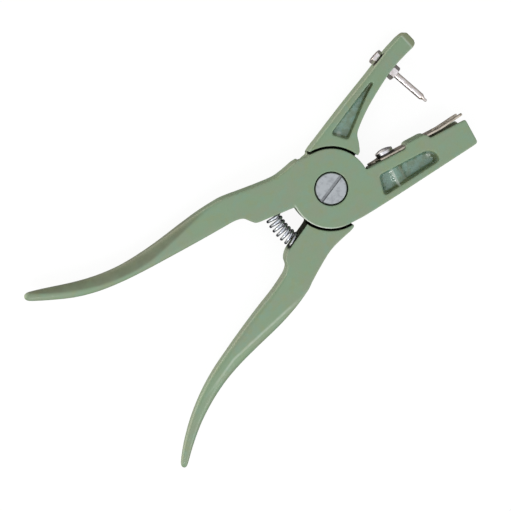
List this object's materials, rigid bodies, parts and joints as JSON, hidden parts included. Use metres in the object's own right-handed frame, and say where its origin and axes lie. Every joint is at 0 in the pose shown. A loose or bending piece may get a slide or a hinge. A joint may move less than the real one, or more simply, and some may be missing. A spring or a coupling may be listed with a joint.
{
  "type": "ear tag applicator plier",
  "caption": "Cast two-lever plier that opens by a coil spring, with a needle on one jaw and a forked clip over an open channel on the other.",
  "frame": {"origin": "on the pivot axis, in the plane of the levers' flat back faces", "axes": "+Z along the pivot from the flat back towards the slotted screw head; +X along the tool from the handles towards the jaws; +Y across the tool towards the needle jaw"},
  "size_m": [0.2363, 0.1222, 0.018],
  "materials": {
    "green_paint": "satin",
    "zinc_steel": "satin",
    "polished_steel": "polished",
    "dark_steel": "satin",
    "spring_steel": "satin",
    "clip_steel": "satin"
  },
  "bodies": {
    "front_lever_group": {"front_lever": "green_paint", "clip_plate": "clip_steel", "clip_plain_washer": "dark_steel", "clip_lock_washer": "dark_steel", "clip_screw": "zinc_steel"},
    "rear_lever_group": {"rear_lever": "green_paint", "pivot_screw": "zinc_steel", "pivot_head_washer": "dark_steel", "pivot_wear_washer": "dark_steel", "pivot_lock_washer": "dark_steel", "pivot_nut": "zinc_steel", "handle_spring": "spring_steel", "needle": "polished_steel", "needle_collar": "polished_steel", "needle_plain_washer": "dark_steel", "needle_lock_washer": "dark_steel", "needle_nut": "polished_steel"}
  },
  "joints": [
    {"name": "jaw_pivot", "type": "hinge", "parent": "front_lever_group", "child": "rear_lever_group", "pos_m": [0, 0, 0.009], "axis": [0, 0, -1], "range_deg": [0, 20], "stiffness_Nm_per_rad": 2, "springref_deg": -5.73, "deforming": ["handle_spring"]}
  ]
}
